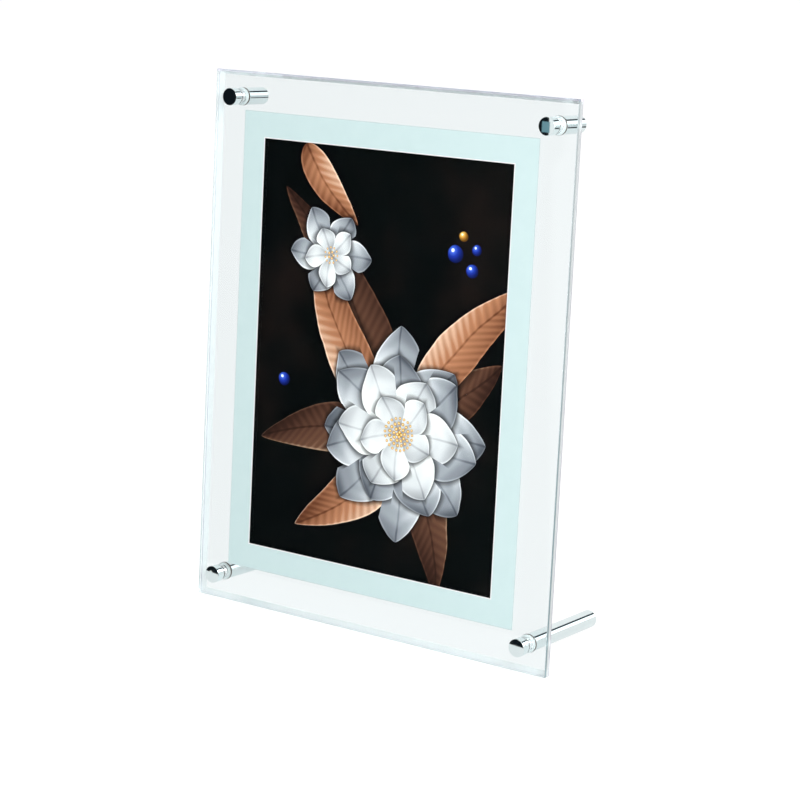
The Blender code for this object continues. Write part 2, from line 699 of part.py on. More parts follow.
def stand_on_ground():
    """Put the lowest point at Z = 0 and the middle of the footprint at the origin."""
    bpy.context.view_layer.update()
    depsgraph = bpy.context.evaluated_depsgraph_get()
    points = []
    for obj in parts.objects:
        if obj.type != "EMPTY":
            evaluated = obj.evaluated_get(depsgraph)
            points += [obj.matrix_world @ vert.co for vert in evaluated.to_mesh().vertices]
            evaluated.to_mesh_clear()
    low = [min(point[i] for point in points) for i in range(3)]
    high = [max(point[i] for point in points) for i in range(3)]
    stand.location -= Vector(((low[0] + high[0]) / 2, (low[1] + high[1]) / 2, low[2]))
    bpy.context.view_layer.update()


clear_scene()
parts = make_collection("led_light_box")
cutters = make_collection("cutters")

clear_acrylic = make_material("clear_acrylic", (0.93, 0.98, 0.98), 0.03, transmission=1.0)
clear_nylon = make_material("clear_nylon", (0.9, 0.93, 0.93), 0.25, transmission=0.6)
pale_teal = make_material("pale_teal", (0.68, 0.85, 0.86), 0.5)
picture_print = make_material("picture_print", (0.02, 0.02, 0.025), 0.35)
white_sheet = make_material("white_sheet", (0.92, 0.92, 0.92), 0.6)
white_plastic = make_material("white_plastic", (0.88, 0.88, 0.88), 0.45)
board_white = make_material("board_white", (0.85, 0.86, 0.84), 0.4)
led_phosphor = make_material("led_phosphor", (0.9, 0.8, 0.3), 0.5)
white_metal = make_material("white_metal", (0.86, 0.87, 0.87), 0.4)
steel = make_material("steel", (0.6, 0.6, 0.6), 0.3, metallic=1.0)
black_plastic = make_material("black_plastic", (0.03, 0.03, 0.03), 0.45)
chrome = make_material("chrome", (0.85, 0.87, 0.88), 0.06, metallic=1.0)
white_nylon = make_material("white_nylon", (0.9, 0.9, 0.9), 0.5)
dark_rubber = make_material("dark_rubber", (0.05, 0.04, 0.035), 0.7)
wire_colors = {
    "positive": make_material("red_insulation", (0.5, 0.03, 0.03), 0.5),
    "negative": make_material("black_insulation", (0.03, 0.03, 0.03), 0.5),
}

# The stand leans everything back, and each standoff's axis points out of the front face
stand = add_empty("stand", rotation=(-LEAN, 0, 0))
axes = {
    name: add_empty(name + "_axis", stand, (x, 0, z), (math.pi / 2, 0, 0))
    for name, (x, z, kind, length) in STANDOFFS.items()
}

cover_screws = cover_screw_places()
hole_cutters = make_hole_cutters()
make_front_sheet(hole_cutters)
make_rear_sheet(hole_cutters, cover_screws)
make_border()
make_picture()
make_light_guide_stack()
make_rails()
make_led_strip("led_strip_top", 1)
make_led_strip("led_strip_bottom", -1)
back_cover = make_back_cover(cover_screws)
make_power_unit(back_cover)
make_link_wires()
make_standoffs()
stand_on_ground()
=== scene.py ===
"""LED light box: the finish of each surface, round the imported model.

Panel coordinates: X runs across, Y is the depth behind the front face, Z runs up the sheets.
A standoff's own coordinates: Z runs along its axis, out of the front face, from the face itself.
"""

import json
import math

import bmesh
import bpy
from mathutils import Matrix, Vector


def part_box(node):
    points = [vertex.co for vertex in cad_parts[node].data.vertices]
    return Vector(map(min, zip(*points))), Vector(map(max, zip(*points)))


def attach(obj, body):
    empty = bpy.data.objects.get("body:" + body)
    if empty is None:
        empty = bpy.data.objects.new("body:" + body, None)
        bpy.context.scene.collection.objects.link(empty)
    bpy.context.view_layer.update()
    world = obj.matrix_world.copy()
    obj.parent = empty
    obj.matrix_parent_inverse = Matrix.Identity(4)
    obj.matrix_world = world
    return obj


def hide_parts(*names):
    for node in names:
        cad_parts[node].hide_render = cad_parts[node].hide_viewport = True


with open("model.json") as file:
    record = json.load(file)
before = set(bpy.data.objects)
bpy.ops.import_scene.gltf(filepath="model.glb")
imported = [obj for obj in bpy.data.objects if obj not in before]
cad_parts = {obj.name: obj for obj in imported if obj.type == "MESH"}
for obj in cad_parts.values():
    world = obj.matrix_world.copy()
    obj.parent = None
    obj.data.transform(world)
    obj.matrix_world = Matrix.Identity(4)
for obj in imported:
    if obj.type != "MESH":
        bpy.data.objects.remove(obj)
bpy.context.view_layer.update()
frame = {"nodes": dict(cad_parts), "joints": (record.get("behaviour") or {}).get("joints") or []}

MM = 0.001
MAIN_BODY = "light_box"
CORNERS = ("top_left", "top_right", "bottom_left", "bottom_right")

# Camera, from the photograph's perspective
IMAGE_SIZE = 800
SENSOR = 36
FOCAL_PIXELS = 2301.6
AXIS_ROW = 320
CAMERA_PLACE = (0.86685, -1.20717, 0.63339)
CAMERA_TURN = (74.154, 2.074, 34.722)

# Light of the surroundings, of the backlit picture, and the painted glow of the sheets' edges
FILL_LIGHT = 0.63
LAMP_TARGET = (0, 0, 0.2)
PICTURE_GLOW = 0.3
EDGE_GLOW = 0.15
TOP_GLOW = 0.36
SHEEN = 0.15

# Floor: its own glow and the share of light that it returns, by the kind of ray that meets it
FLOOR_SIZE = 14
FLOOR_GLOW = 0.78
GLOW_THROUGH = 0.165
GLOW_LOST = 0.17
FLOOR_BOUNCE = 0.8
FLOOR_SEEN = 0.36
SEEN_THROUGH = 0.3

# Roundness
FINE_SIDES = 128
SMALL_SIDES = 64
SCREW_SIDES = 48
POLISHED_EDGE = 0.25 * MM
COVER_EDGE = 0.4 * MM
INNER_EDGE = 0.12 * MM
CAP_RIM = 1.0 * MM
BARREL_RIM = 0.6 * MM
RUBBER_RIM = 0.2 * MM
SCREW_RIM = 0.2 * MM
WASHER_RIM = 0.15 * MM
BUSHING_RIM = 0.12 * MM
GUARD = 0.04 * MM

# Sizes that the solids don't give
REAR_BEVEL = 3.3 * MM
BORDER_WIDTH = 18 * MM
KEYLINE = 0.75 * MM
CAP_CROWN = 0.05 * MM
CAP_SOCKET = 4 * MM
BARREL_BORE = 14 * MM
BUSHING_FLANGE = 0.6 * MM
THREAD_PITCH = 1 * MM
THREAD_DEPTH = 0.35 * MM
UNIT_GAP = Vector((0.5 * MM, 0, 0.5 * MM))
OVERRUN = 1 * MM

RIGHT = Vector((1, 0, 0))
joints = {joint["name"]: joint for joint in frame["joints"]}
hinges = {corner: joints[corner + "_cap_turn"] for corner in CORNERS}
OUTWARD = Vector(hinges["bottom_left"]["axis"])
UP = OUTWARD.cross(RIGHT)


def place_of(x_axis, y_axis, z_axis, origin):
    """The matrix of a frame with these axes at this point."""
    matrix = Matrix((x_axis, y_axis, z_axis)).transposed().to_4x4()
    matrix.translation = origin
    return matrix


# Panel and standoff frames, from the hinges of the caps
axes = {corner: place_of(RIGHT, UP, OUTWARD, Vector(hinges[corner]["pos_m"])) for corner in CORNERS}
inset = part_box("front_sheet")[1].x - axes["bottom_right"].translation.x
middle_bottom = (axes["bottom_left"].translation + axes["bottom_right"].translation) / 2
PANEL = place_of(RIGHT, -OUTWARD, UP, middle_bottom - UP * inset)


def points_of(node, matrix=PANEL):
    """The node's vertices in the panel's coordinates, or in another frame's."""
    inverse = matrix.inverted()
    return [inverse @ vert.co for vert in frame["nodes"][node].data.vertices]


def extent(node, matrix=PANEL):
    """Lowest and highest corner of a node."""
    points = points_of(node, matrix)
    low = Vector([min(point[i] for point in points) for i in range(3)])
    high = Vector([max(point[i] for point in points) for i in range(3)])
    return low, high


def sleeve_radius():
    """The radius of a bushing where it lies in the sheets."""
    points = points_of("top_left_bushing", axes["top_left"])
    return max(math.hypot(point.x, point.y) for point in points if point.z > -OVERRUN)


SEAT_GAP = extent("rear_sheet")[0].y - extent("front_sheet")[1].y
HOLE_RADIUS = sleeve_radius() + SEAT_GAP
BORE_RADIUS = extent("top_left_stud", axes["top_left"])[1].x + SEAT_GAP


# Node trees
class Tree:
    """Adds nodes to a material. Inputs are sockets, numbers or tuples."""

    def __init__(self, name):
        self.material = bpy.data.materials.new(name)
        self.material.use_nodes = True
        self.nodes = self.material.node_tree.nodes
        self.links = self.material.node_tree.links
        self.shader = self.nodes["Principled BSDF"]
        self.output = self.nodes["Material Output"]

    def feed(self, socket, value):
        if isinstance(value, bpy.types.NodeSocket):
            self.links.new(value, socket)
        elif value is not None:
            socket.default_value = value

    def node(self, kind, *values, output=0, **settings):
        node = self.nodes.new("ShaderNode" + kind)
        for key, value in settings.items():
            setattr(node, key, value)
        for socket, value in zip(node.inputs, values):
            self.feed(socket, value)
        return node.outputs[output]

    def math(self, operation, *values, clamp=False):
        return self.node("Math", *values, operation=operation, use_clamp=clamp)

    def add(self, a, b):
        return self.math("ADD", a, b)

    def times(self, a, b):
        return self.math("MULTIPLY", a, b)

    def between(self, value, low, high, to_low=0.0, to_high=1.0):
        """Runs smoothly from to_low to to_high as value goes from low to high."""
        return self.node("MapRange", value, low, high, to_low, to_high, interpolation_type="SMOOTHSTEP")

    def mix(self, factor, a, b, blend="MIX"):
        node = self.nodes.new("ShaderNodeMix")
        node.data_type = "RGBA"
        node.blend_type = blend
        self.feed(node.inputs["Factor"], factor)
        self.feed(node.inputs[6], a if isinstance(a, bpy.types.NodeSocket) else (*a, 1))
        self.feed(node.inputs[7], b if isinstance(b, bpy.types.NodeSocket) else (*b, 1))
        return node.outputs[2]

    def ramp(self, value, stops):
        """A colour ramp through (place, colour) stops."""
        node = self.nodes.new("ShaderNodeValToRGB")
        elements = node.color_ramp.elements
        while len(elements) < len(stops):
            elements.new(0.5)
        for element, (place, colour) in zip(elements, stops):
            element.position = place
            element.color = (*colour, 1)
        self.feed(node.inputs[0], value)
        return node.outputs[0]

    def object_point(self):
        return self.node("TexCoord", output=3)

    def noise(self, scale, detail=2.0, roughness=0.5, vector=None, output=0):
        node = self.nodes.new("ShaderNodeTexNoise")
        self.feed(node.inputs["Vector"], vector or self.object_point())
        node.inputs["Scale"].default_value = scale
        node.inputs["Detail"].default_value = detail
        node.inputs["Roughness"].default_value = roughness
        return node.outputs[output]

    def stretched(self, scale):
        """Object coordinates with each direction scaled."""
        return self.node("Mapping", self.object_point(), None, None, scale)

    def bump(self, height, distance, strength=1.0):
        node = self.nodes.new("ShaderNodeBump")
        node.inputs["Strength"].default_value = strength
        node.inputs["Distance"].default_value = distance
        self.feed(node.inputs["Height"], height)
        self.links.new(node.outputs[0], self.shader.inputs["Normal"])

    def set(self, **values):
        for key, value in values.items():
            self.feed(self.shader.inputs[key.replace("_", " ")], value)
        return self.material


def clear_material(name, tint, stand_in, ior=1.49, roughness=0.0):
    """Clear plastic. Lamps see a plain tinted stand-in, so that it lets their light through."""
    tree = Tree(name)
    dust = tree.noise(900, 3)
    tree.set(
        Base_Color=(*tint, 1),
        Transmission_Weight=1.0,
        IOR=ior,
        Specular_Tint=(SHEEN, SHEEN, SHEEN, 1),
        Roughness=tree.between(dust, 0.62, 0.8, roughness, roughness + 0.05),
    )
    passing = tree.node("BsdfTransparent", (*stand_in, 1))
    is_lamp = tree.node("LightPath", output=1)
    mixed = tree.node("MixShader", is_lamp, tree.shader.outputs[0], passing)
    tree.links.new(mixed, tree.output.inputs["Surface"])
    return tree.material


def edge_material():
    """The sheets' polished edges, with painted reflections by depth: a dark line in front, then pale, then
    violet before the bevel.

    The painted reflections grow paler toward the top, and the top edge itself gets a painted violet glow.
    """
    tree = Tree("acrylic_edge_painted_light")
    _, depth, up = separate(tree, tree.object_point())
    top = extent("front_sheet")[1].z
    at_top = tree.between(up, top - 2 * MM, top - 1 * MM)
    # Painted reflections in the polished edges, in bands by depth
    dark, pale = (0.32, 0.44, 0.47), (0.89, 0.94, 0.95)
    violet, bevel = (0.62, 0.6, 0.7), (0.76, 0.8, 0.81)
    stops = [(1.3, dark), (1.7, pale), (4.0, pale), (4.4, violet), (4.9, violet), (5.3, bevel)]
    stops = [(place / 10, colour) for place, colour in stops]
    haze = tree.between(tree.noise(300, 3), 0.35, 0.7, 0.05, 0.15)
    # This tint is the banded painted reflection colour
    tint = tree.ramp(tree.times(depth, 0.1 / MM), stops)
    # Painted paler toward the top, but not on the top edge itself
    paler = tree.math("SUBTRACT", tree.between(up, 0.2 * top, top, 0.0, 0.55), at_top, clamp=True)
    tint = tree.mix(paler, tint, pale)
    return tree.set(
        Base_Color=tint,
        # Painted glow: faint on every edge, brighter and violet on the top edge
        Emission_Color=tree.mix(at_top, tint, (1.0, 0.78, 1.0), "MULTIPLY"),
        Emission_Strength=tree.between(at_top, 0, 1, EDGE_GLOW, TOP_GLOW),
        Transmission_Weight=0.45,
        IOR=1.49,
        Specular_Tint=(SHEEN, SHEEN, SHEEN, 1),
        Roughness=haze,
    )


def chrome_material():
    tree = Tree("polished_chrome")
    scuffs = tree.noise(60, 4, 0.6)
    hairlines = tree.noise(40, 2, 0.5, tree.stretched((30, 30, 2)))
    tint = tree.mix(tree.between(scuffs, 0.35, 0.7), (0.75, 0.835, 0.845), (0.79, 0.87, 0.875))
    dull = tree.between(scuffs, 0.5, 0.75, 0.035, 0.075)
    wear = tree.add(dull, tree.between(hairlines, 0.6, 0.8, 0.0, 0.05))
    tree.bump(hairlines, 0.002 * MM, 0.3)
    return tree.set(Base_Color=tint, Metallic=1.0, Roughness=wear)


def moulded_material(name, colour, roughness, grain=2500, depth=0.01, spread=0.06):
    """Moulded or painted: a fine grain with slightly uneven tone and gloss."""
    tree = Tree(name)
    dark = tuple(c * (1 - spread) for c in colour)
    light = tuple(min(c * (1 + spread), 0.97) for c in colour)
    broad = tree.noise(45, 3)
    tree.bump(tree.noise(grain, 2), depth * MM, 0.6)
    return tree.set(
        Base_Color=tree.mix(tree.between(broad, 0.3, 0.7), dark, light),
        Roughness=tree.between(broad, 0.3, 0.7, roughness - 0.06, roughness + 0.06),
    )


def steel_material():
    tree = Tree("bright_steel")
    brushed = tree.noise(120, 3, 0.6, tree.stretched((1, 1, 8)))
    tone = tree.mix(tree.between(brushed, 0.3, 0.7), (0.5, 0.5, 0.51), (0.68, 0.68, 0.69))
    tree.bump(brushed, 0.01 * MM, 0.4)
    return tree.set(Base_Color=tone, Metallic=1.0, Roughness=tree.between(brushed, 0.3, 0.7, 0.22, 0.38))


def board_material():
    """White solder mask, in a fine speckle."""
    tree = Tree("led_board_white")
    speck = tree.noise(1500, 2)
    tone = tree.mix(tree.between(speck, 0.4, 0.7), (0.8, 0.82, 0.8), (0.88, 0.89, 0.87))
    return tree.set(Base_Color=tone, Roughness=tree.between(speck, 0.4, 0.7, 0.3, 0.45))


def border_material(inner, outer):
    """Pale teal print with a bare keyline round the picture, and a thin grey painted shadow along its
    outer edge.
    """
    tree = Tree("pale_teal_print")
    x, _, z = separate(tree, tree.object_point())
    across = tree.math("ABSOLUTE", x)
    up = tree.math("ABSOLUTE", tree.math("SUBTRACT", z, (inner[0][1] + inner[1][1]) / 2))
    half_inner = ((inner[1][0] - inner[0][0]) / 2, (inner[1][1] - inner[0][1]) / 2)
    half_outer = ((outer[1][0] - outer[0][0]) / 2, (outer[1][1] - outer[0][1]) / 2)
    from_picture = tree.math(
        "MAXIMUM", tree.math("SUBTRACT", across, half_inner[0]), tree.math("SUBTRACT", up, half_inner[1])
    )
    from_rim = tree.math(
        "MINIMUM", tree.math("SUBTRACT", half_outer[0], across), tree.math("SUBTRACT", half_outer[1], up)
    )
    mottle = tree.between(tree.noise(70, 4, 0.6), 0.3, 0.7)
    teal = tree.mix(mottle, (0.652, 0.828, 0.832), (0.668, 0.842, 0.845))
    # Thin grey painted shadow along the outer edge
    teal_and_painted_shadow = tree.mix(tree.between(from_rim, 0.25 * MM, 0.5 * MM, 0.55, 0.0), teal, (0.52, 0.6, 0.61))
    white = tree.between(from_picture, 0.8 * KEYLINE, 1.2 * KEYLINE, 1.0, 0.0)
    teal_and_painted_shadow = tree.mix(white, teal_and_painted_shadow, (0.93, 0.95, 0.95))
    tree.bump(tree.noise(3000, 2), 0.004 * MM, 0.5)
    gloss = tree.between(mottle, 0, 1, 0.42, 0.55)
    return tree.set(Base_Color=teal_and_painted_shadow, Roughness=gloss, Specular_IOR_Level=0.2)


def separate(tree, vector):
    node = tree.nodes.new("ShaderNodeSeparateXYZ")
    tree.feed(node.inputs[0], vector)
    return node.outputs


# Picture on the film: pale flowers among leathery leaves on black. Places and sizes are in millimetres
# from the picture's middle, and the colours of a palette run from shade to light.
SILVER = [
    (0.0, (0.03, 0.033, 0.04)),
    (0.3, (0.26, 0.27, 0.29)),
    (0.62, (0.6, 0.61, 0.62)),
    (0.97, (0.84, 0.84, 0.82)),
]
SHADE = [
    (0.0, (0.01, 0.012, 0.018)),
    (0.35, (0.09, 0.1, 0.12)),
    (0.7, (0.33, 0.35, 0.38)),
    (1.0, (0.78, 0.79, 0.8)),
]
TAN = [
    (0.0, (0.02, 0.006, 0.003)),
    (0.35, (0.13, 0.042, 0.018)),
    (0.65, (0.4, 0.17, 0.085)),
    (0.98, (0.85, 0.62, 0.46)),
]
BROWN = [
    (0.0, (0.004, 0.002, 0.002)),
    (0.4, (0.035, 0.014, 0.009)),
    (0.75, (0.12, 0.052, 0.03)),
    (1.0, (0.38, 0.24, 0.15)),
]
GOLD = [
    (0.0, (0.05, 0.015, 0.0)),
    (0.4, (0.42, 0.18, 0.02)),
    (0.75, (0.85, 0.53, 0.1)),
    (1.0, (1.0, 0.93, 0.7)),
]
BLUE = [
    (0.0, (0.001, 0.003, 0.03)),
    (0.45, (0.01, 0.03, 0.32)),
    (0.8, (0.05, 0.13, 0.62)),
    (1.0, (0.78, 0.87, 1.0)),
]

# Leaves: foot, direction in degrees, length, half width, bend
BACK_LEAVES = [
    ((14, -44), 106, 176, 22, -0.0016),
    ((6, -50), 172, 98, 18, -0.0030),
    ((30, -60), 301, 92, 17, 0.0030),
    ((38, -30), 22, 72, 16, -0.0030),
]
FRONT_LEAVES = [
    ((10, -36), 139, 128, 19, 0.0026),
    ((16, -60), 236, 96, 19, 0.0034),
    ((34, -30), 66, 128, 17, 0.0026),
    ((-66, 142), 296, 66, 12, -0.0040),
]

# Flowers: place, then petals from the back: palette, count, turn in degrees, length, half width, bend
SMALL_FLOWER = (-42, 68)
SMALL_PETALS = (
    (SHADE, 6, 8, 34, 11, 0.004),
    (SILVER, 5, 40, 22, 8, -0.005),
)
MAIN_FLOWER = (20, -46)
MAIN_PETALS = (
    (SHADE, 8, 10, 70, 20, 0.002),
    (SHADE, 7, 35, 60, 19, -0.002),
    (SILVER, 6, 8, 48, 17, 0.003),
    (SILVER, 5, 44, 31, 12, -0.004),
)

# Rings of stamens: count, turn in degrees, ring radius, bead radius
MAIN_STAMENS = ((21, 5, 11.0, 1.1), (15, 0, 7.6, 1.3), (9, 10, 4.4, 1.4), (4, 0, 1.6, 1.4))
SMALL_STAMENS = ((11, 0, 5.4, 0.9), (5, 0, 2.2, 1.1))

# Berries: centre, radius
GOLD_BERRY = ((64, 92), 3.4)
BLUE_BERRIES = (((58, 80), 6.0), ((71, 70), 4.6), ((74, 84), 3.8), ((-78, -22), 4.8))


class Motif:
    """Shapes of one palette, later ones over earlier ones."""

    def __init__(self, tree, palette):
        self.tree = tree
        self.palette = palette
        self.mask = None
        self.tone = None

    def lay(self, mask, tone):
        if self.mask is None:
            self.mask, self.tone = mask, tone
            return
        change = self.tree.math("SUBTRACT", tone, self.tone)
        self.tone = self.tree.add(self.tone, self.tree.times(mask, change))
        self.mask = self.tree.math("MAXIMUM", self.mask, mask)

    def over(self, colour):
        return self.tree.mix(self.mask, colour, self.tree.ramp(self.tone, self.palette))


def blade(tree, along, side, length, half_width, bend, fullness, veins):
    """Mask and tone of a petal or leaf that runs along from its foot."""
    side = tree.math("MULTIPLY_ADD", tree.times(along, along), bend, side)
    share = tree.math("DIVIDE", along, length, clamp=True)
    swell = tree.math("SINE", tree.times(tree.math("POWER", share, fullness), math.pi))
    width = tree.times(tree.math("POWER", tree.math("MAXIMUM", swell, 0), 0.75), half_width)
    offset = tree.math("ABSOLUTE", side)
    beyond = tree.math("ABSOLUTE", tree.math("SUBTRACT", along, tree.times(share, length)))
    room = tree.math("SUBTRACT", tree.math("SUBTRACT", width, offset), beyond)
    cross = tree.math("DIVIDE", side, tree.math("MAXIMUM", width, 1))
    tone = tree.math("MULTIPLY_ADD", cross, 0.17, 0.3)
    tone = tree.math("MULTIPLY_ADD", swell, 0.34, tone)
    tone = tree.add(tone, tree.between(offset, 0.1, 1.3, -0.17, 0.0))
    tone = tree.add(tone, tree.between(room, 0.3, 2.0, 0.2, 0.0))
    chevron = tree.math("MULTIPLY_ADD", offset, -veins[0], along)
    tone = tree.math("MULTIPLY_ADD", tree.math("SINE", tree.times(chevron, veins[1])), veins[2], tone)
    return tree.between(room, 0.0, 0.4), tone, room


def local(tree, x, y, foot):
    return tree.math("SUBTRACT", x, foot[0]), tree.math("SUBTRACT", y, foot[1])


def leaf(tree, x, y, foot, direction, length, half_width, bend):
    across, up = local(tree, x, y, foot)
    cos, sin = math.cos(math.radians(direction)), math.sin(math.radians(direction))
    along = tree.math("MULTIPLY_ADD", across, cos, tree.times(up, sin))
    side = tree.math("MULTIPLY_ADD", up, cos, tree.times(across, -sin))
    return blade(tree, along, side, length, half_width, bend, 0.72, (0.85, 0.95, 0.05))


def polar(tree, x, y, centre):
    across, up = local(tree, x, y, centre)
    reach = tree.math("SQRT", tree.math("MULTIPLY_ADD", across, across, tree.times(up, up)))
    return reach, tree.math("ARCTAN2", up, across)


def sector(tree, reach, angle, count, turn):
    """Folds the circle into equal sectors: along and across the sector's middle, and its number."""
    step = 2 * math.pi / count
    place = tree.math("MULTIPLY_ADD", angle, 1 / step, -math.radians(turn) / step)
    number = tree.math("ROUND", place)
    inside = tree.times(tree.math("SUBTRACT", place, number), step)
    along = tree.times(reach, tree.math("COSINE", inside))
    side = tree.times(reach, tree.math("SINE", inside))
    chance = tree.nodes.new("ShaderNodeTexWhiteNoise")
    chance.noise_dimensions = "1D"
    tree.feed(chance.inputs["W"], tree.math("WRAP", number, count, 0))
    return along, side, chance.outputs["Value"]


def petals(tree, polar_point, count, turn, length, half_width, bend):
    along, side, chance = sector(tree, *polar_point, count, turn)
    grown = tree.math("MULTIPLY_ADD", chance, 0.2 * length, 0.86 * length)
    mask, tone, room = blade(tree, along, side, grown, half_width, bend, 1.35, (-0.6, 0.55, 0.03))
    return mask, tree.math("MULTIPLY_ADD", chance, 0.12, tone), room


def beads(tree, polar_point, count, turn, ring, size):
    along, side, _ = sector(tree, *polar_point, count, turn)
    shift = tree.math("SUBTRACT", along, ring)
    distance = tree.math("SQRT", tree.math("MULTIPLY_ADD", shift, shift, tree.times(side, side)))
    return tree.between(distance, size - 0.3, size, 1.0, 0.0), tree.between(distance, 0.0, size, 0.95, 0.3)


def berry(tree, x, y, centre, radius):
    reach, _ = polar(tree, x, y, centre)
    lit, _ = polar(tree, x, y, (centre[0] - 0.33 * radius, centre[1] + 0.38 * radius))
    glint = tree.between(lit, 0.1 * radius, 0.28 * radius, 0.5, 0.0)
    tone = tree.add(tree.between(lit, 0.0, 1.4 * radius, 0.78, 0.05), glint)
    return tree.between(reach, radius - 0.35, radius, 1.0, 0.0), tone


def shade_under(tree, colour, room, spread, depth):
    """Darkens what lies round the edge of a shape."""
    return tree.mix(tree.between(room, -spread, 0.5, 0.0, depth), colour, (0.0015, 0.0015, 0.002))


def picture_material(middle_up):
    tree = Tree("picture_print")
    x, _, z = separate(tree, tree.object_point())
    x = tree.times(x, 1000)
    y = tree.times(tree.math("SUBTRACT", z, middle_up), 1000)
    ripple = tree.noise(30, 3, 0.55)
    x = tree.math("MULTIPLY_ADD", tree.math("SUBTRACT", ripple, 0.5), 5.0, x)
    haze = tree.noise(9, 3, 0.6)
    colour = tree.mix(tree.between(haze, 0.45, 0.75), (0.0014, 0.0024, 0.0025), (0.01, 0.006, 0.005))

    back = Motif(tree, BROWN)
    for values in BACK_LEAVES:
        mask, tone, _ = leaf(tree, x, y, *values)
        back.lay(mask, tone)
    colour = back.over(colour)
    front = Motif(tree, TAN)
    for values in FRONT_LEAVES:
        mask, tone, room = leaf(tree, x, y, *values)
        colour = shade_under(tree, colour, room, 7, 0.75)
        front.lay(mask, tone)
    colour = front.over(colour)

    small, main = polar(tree, x, y, SMALL_FLOWER), polar(tree, x, y, MAIN_FLOWER)
    for point, layers in ((small, SMALL_PETALS), (main, MAIN_PETALS)):
        for palette, *shape in layers:
            mask, tone, room = petals(tree, point, *shape)
            colour = shade_under(tree, colour, room, 6, 0.8)
            layer = Motif(tree, palette)
            layer.lay(mask, tone)
            colour = layer.over(colour)

    gold, blue = Motif(tree, GOLD), Motif(tree, BLUE)
    for ring in MAIN_STAMENS:
        gold.lay(*beads(tree, main, *ring))
    for ring in SMALL_STAMENS:
        gold.lay(*beads(tree, small, *ring))
    gold.lay(*berry(tree, x, y, *GOLD_BERRY))
    for values in BLUE_BERRIES:
        blue.lay(*berry(tree, x, y, *values))
    colour = blue.over(gold.over(colour))

    grain = tree.noise(2600, 2)
    speck = tree.ramp(grain, [(0.3, (0.36, 0.36, 0.36)), (0.7, (0.64, 0.64, 0.64))])
    colour = tree.mix(0.08, colour, speck, "OVERLAY")
    tree.links.new(colour, tree.shader.inputs["Emission Color"])
    tree.bump(grain, 0.003 * MM, 0.15)
    gloss = tree.between(grain, 0.3, 0.7, 0.36, 0.46)
    return tree.set(
        Base_Color=colour, Emission_Strength=PICTURE_GLOW, Roughness=gloss, Specular_IOR_Level=0.1
    )


# Mesh helpers
def add_piece(name, bm, materials, node, body=MAIN_BODY, matrix=PANEL, sharp=30):
    """A finished piece from a bmesh, in its own frame, that rides on a body and stands for a node."""
    bmesh.ops.recalc_face_normals(bm, faces=bm.faces)
    mesh = bpy.data.meshes.new(name)
    bm.to_mesh(mesh)
    bm.free()
    mesh.shade_smooth()
    mesh.set_sharp_from_angle(angle=math.radians(sharp))
    for material in materials:
        mesh.materials.append(material)
    piece = bpy.data.objects.new(name, mesh)
    bpy.context.scene.collection.objects.link(piece)
    piece.matrix_world = matrix
    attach(piece, body)
    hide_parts(node)


def rounded(points, radius, steps=6):
    """The outline with each corner between its ends rounded. Guard points keep the flats' shading flat."""
    points = [Vector(point) for point in points]
    result = [points[0]]
    for before, corner, after in zip(points, points[1:], points[2:]):
        to_before, to_after = (before - corner), (after - corner)
        half = to_before.angle(to_after) / 2
        reach = min(radius / math.tan(half), to_before.length / 2, to_after.length / 2)
        start = corner + to_before.normalized() * reach
        end = corner + to_after.normalized() * reach
        if (start - result[-1]).length > 3 * GUARD:
            result.append(start + to_before.normalized() * GUARD)
        for i in range(steps + 1):
            t = i / steps
            result.append(start * (1 - t) ** 2 + corner * 2 * t * (1 - t) + end * t * t)
        if (after - end).length > 3 * GUARD:
            result.append(end + to_after.normalized() * GUARD)
    return result + [points[-1]]


def turned(profile, sides=FINE_SIDES, closed=False):
    """A bmesh of (radius, height) points turned about Z."""
    bm = bmesh.new()
    verts = [bm.verts.new((point[0], 0, point[1])) for point in profile]
    edges = [bm.edges.new(pair) for pair in zip(verts, verts[1:])]
    if closed:
        edges.append(bm.edges.new((verts[-1], verts[0])))
    bmesh.ops.spin(
        bm, geom=verts + edges, cent=(0, 0, 0), axis=(0, 0, 1), angle=2 * math.pi, steps=sides,
        use_merge=True,
    )
    bmesh.ops.remove_doubles(bm, verts=bm.verts, dist=0.001 * MM)
    return bm


def cut(bm, cutters):
    """The bmesh with each cutter's bmesh taken out of it."""
    scratch = bpy.data.objects.new("scratch", bpy.data.meshes.new("scratch"))
    bpy.context.scene.collection.objects.link(scratch)
    bm.to_mesh(scratch.data)
    bm.free()
    tools = []
    for cutter in cutters:
        tool = bpy.data.objects.new("tool", bpy.data.meshes.new("tool"))
        bpy.context.scene.collection.objects.link(tool)
        bmesh.ops.recalc_face_normals(cutter, faces=cutter.faces)
        cutter.to_mesh(tool.data)
        cutter.free()
        modifier = scratch.modifiers.new("cut", "BOOLEAN")
        modifier.solver = "EXACT"
        modifier.object = tool
        tools.append(tool)
    result = bmesh.new()
    result.from_object(scratch, bpy.context.evaluated_depsgraph_get())
    for obj in (scratch, *tools):
        bpy.data.objects.remove(obj)
    return result


def box_mesh(low, high):
    bm = bmesh.new()
    size, centre = Vector(high) - Vector(low), (Vector(high) + Vector(low)) / 2
    matrix = Matrix.Translation(centre) @ Matrix.Diagonal((*size, 1))
    bmesh.ops.create_cube(bm, size=1, matrix=matrix)
    return bm


def rod_mesh(x, z, radius, front, back):
    """A rod along the depth."""
    bm = bmesh.new()
    matrix = Matrix.Translation((x, (front + back) / 2, z)) @ Matrix.Rotation(math.pi / 2, 4, "X")
    bmesh.ops.create_cone(
        bm, cap_ends=True, segments=SMALL_SIDES, radius1=radius, radius2=radius, depth=back - front,
        matrix=matrix,
    )
    return bm


# Clear sheets
def hole_places():
    inverse = PANEL.inverted()
    return [inverse @ axes[corner].translation for corner in CORNERS]


